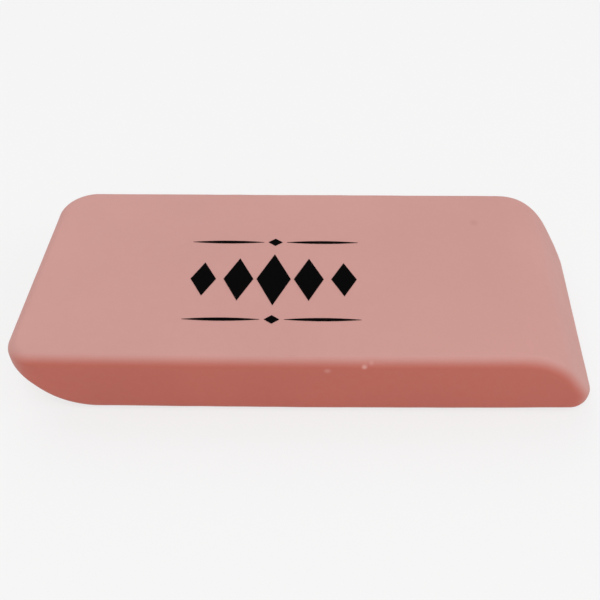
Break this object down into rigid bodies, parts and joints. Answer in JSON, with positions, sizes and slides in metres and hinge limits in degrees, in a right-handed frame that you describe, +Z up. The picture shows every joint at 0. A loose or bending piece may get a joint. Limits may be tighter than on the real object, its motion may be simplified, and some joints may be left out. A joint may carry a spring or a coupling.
{
  "type": "rubber eraser",
  "caption": "Pink bevelled block eraser, a slanted wedge with rounded shoulders and blunt noses, with a small black printed ornament on its top face.",
  "frame": {"origin": "on the plane that the eraser rests on, under the middle of the block's overall length and width", "axes": "+X along the cut sides, towards the end whose slant faces up; +Y from the front to the back; +Z up from the rest face"},
  "size_m": [0.058, 0.0254, 0.008],
  "materials": {
    "pink_rubber": "matte",
    "black_ink": "matte"
  },
  "bodies": {
    "root": {"eraser_block": "pink_rubber", "printed_ornament": "black_ink"}
  },
  "joints": []
}
